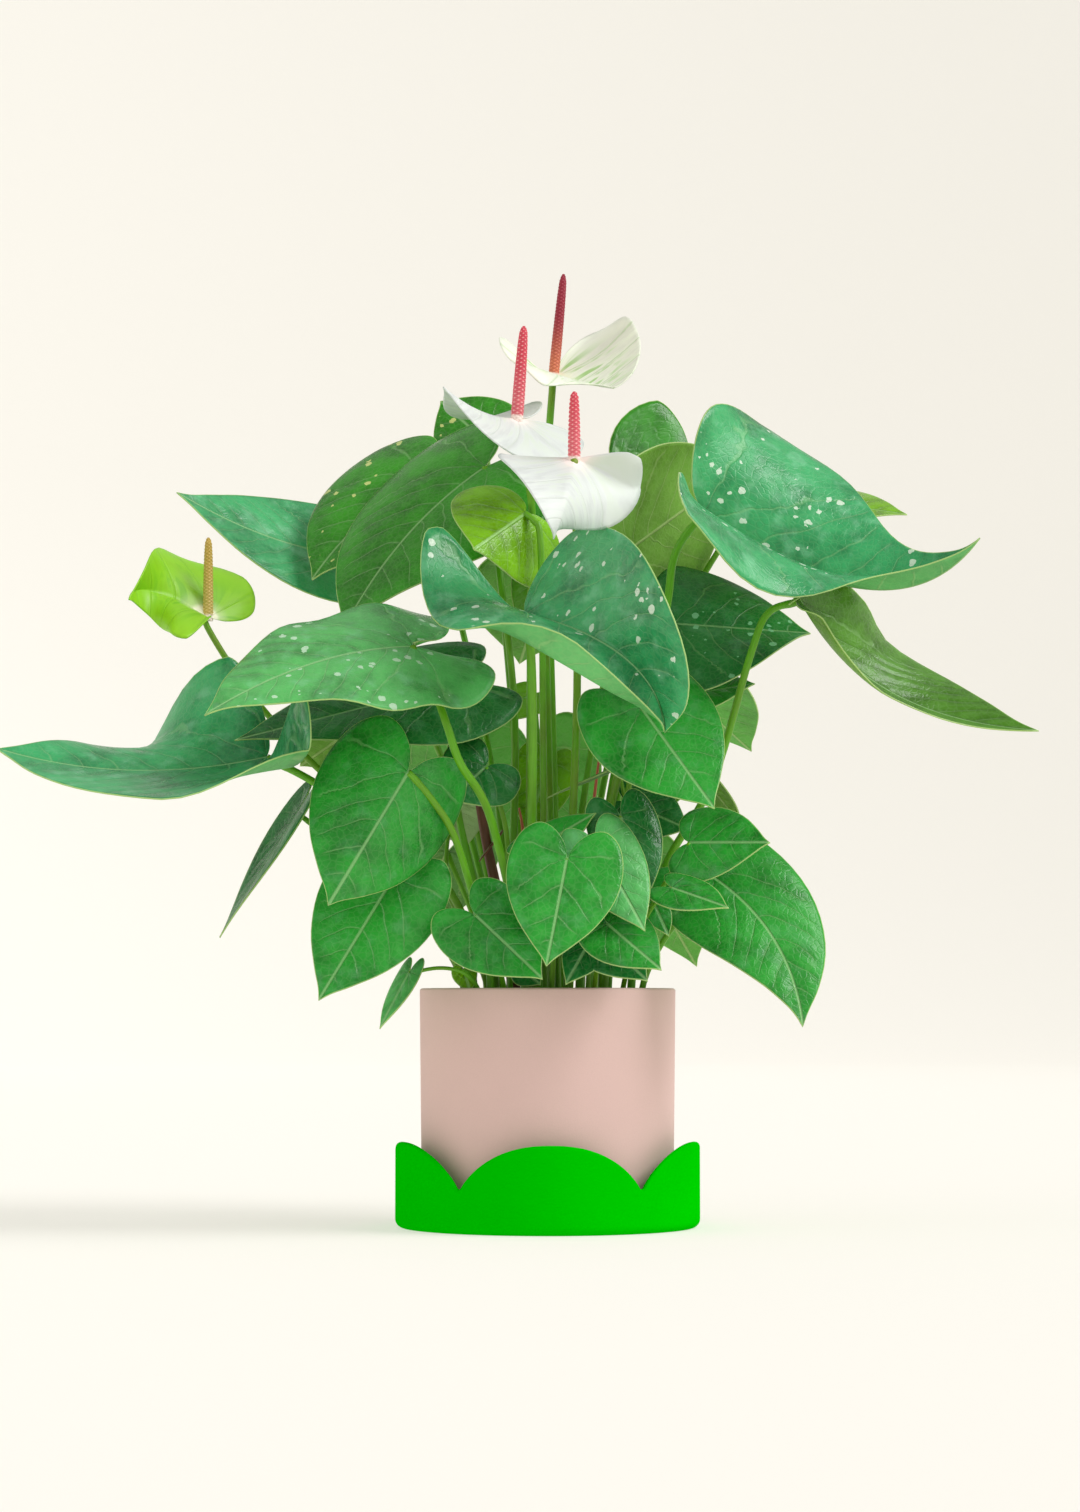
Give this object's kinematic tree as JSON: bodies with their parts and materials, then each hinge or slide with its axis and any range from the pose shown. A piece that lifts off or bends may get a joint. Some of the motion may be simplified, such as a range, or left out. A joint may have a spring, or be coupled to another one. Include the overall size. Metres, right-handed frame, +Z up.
{
  "type": "potted flamingo flower",
  "caption": "Potted flamingo flower with heart-shaped leaves and upright blooms, in a straight round pot that stands in a saucer with a lobed rim.",
  "frame": {"origin": "middle of the saucer's underside, on the surface that it stands on", "axes": "+Z up along the pot's axis, +Y away from the front, +X to the right as seen from the front"},
  "size_m": [0.6061, 0.3839, 0.5781],
  "materials": {
    "saucer_green": "satin gloss green glaze",
    "pot_pink": "matte, fine grain",
    "soil_dark": "dark crumbly potting soil",
    "leaf_bluish": "soft waxy plant tissue, leaf bluish",
    "leaf_deep": "soft waxy plant tissue, leaf deep",
    "leaf_lime": "soft waxy plant tissue, leaf lime",
    "leaf_olive": "soft waxy plant tissue, leaf olive",
    "leaf_light": "soft waxy plant tissue, leaf light",
    "leaf_dark": "soft waxy plant tissue, leaf dark",
    "leaf_green": "soft waxy plant tissue, leaf green",
    "spathe_green_white": "soft waxy plant tissue, spathe green white",
    "spadix_red": "soft waxy plant tissue, spadix red",
    "stalk_green": "soft waxy plant tissue, stalk green",
    "spathe_white": "soft waxy plant tissue, spathe white",
    "spadix_pink": "soft waxy plant tissue, spadix pink",
    "spathe_lime": "soft waxy plant tissue, spathe lime",
    "spadix_mustard": "soft waxy plant tissue, spadix mustard",
    "stem_brown": "soft waxy plant tissue, stem brown",
    "stem_coral": "soft waxy plant tissue, stem coral"
  },
  "bodies": {
    "root": {"saucer": "saucer_green", "pot": "pot_pink", "soil": "soil_dark", "leaf_left_high": "leaf_bluish", "leaf_left_glossy": "leaf_deep", "leaf_top_glossy": "leaf_deep", "leaf_top_left_back": "leaf_deep", "leaf_top_lime": "leaf_lime", "leaf_centre_back": "leaf_olive", "leaf_centre": "leaf_bluish", "leaf_far_left": "leaf_bluish", "leaf_left_middle": "leaf_light", "leaf_left_under": "leaf_dark", "shoot_left_back": "leaf_olive", "leaf_left_heart": "leaf_green", "leaf_left_low": "leaf_green", "leaf_left_hanging": "leaf_dark", "leaf_small_round": "leaf_dark", "shoot_lime": "leaf_lime", "leaf_right_high": "leaf_bluish", "leaf_right_back_lobe": "leaf_deep", "leaf_right_under": "leaf_olive", "leaf_right_behind": "leaf_lime", "leaf_right_middle": "leaf_dark", "leaf_far_right": "leaf_olive", "leaf_right_centre": "leaf_green", "shoot_right": "leaf_green", "leaf_right_low": "leaf_green", "shoot_right_back": "leaf_green", "leaf_front_heart": "leaf_green", "leaf_front_pale": "leaf_light", "leaf_front_dark": "leaf_dark", "shoot_front": "leaf_green", "leaf_low_left": "leaf_green", "shoot_low_right": "leaf_green", "shoot_low_left": "leaf_light", "leaf_back_top": "leaf_deep", "leaf_back_left": "leaf_green", "leaf_back_right": "leaf_green", "leaf_back_middle": "leaf_green", "leaf_back_low_left": "leaf_dark", "leaf_back_low_right": "leaf_green", "spathe_top": "spathe_green_white", "bloom_top_spadix": "spadix_red", "bloom_top_stalk": "stalk_green", "spathe_left": "spathe_white", "bloom_left_spadix": "spadix_pink", "bloom_left_stalk": "stalk_green", "spathe_front": "spathe_white", "bloom_front_spadix": "spadix_pink", "bloom_front_stalk": "stalk_green", "spathe_lime": "spathe_lime", "bloom_lime_spadix": "spadix_mustard", "bloom_lime_stalk": "stalk_green", "main_stem": "stem_brown", "shoot_coral_long": "stem_coral", "shoot_coral_short": "stem_coral"}
  },
  "joints": []
}
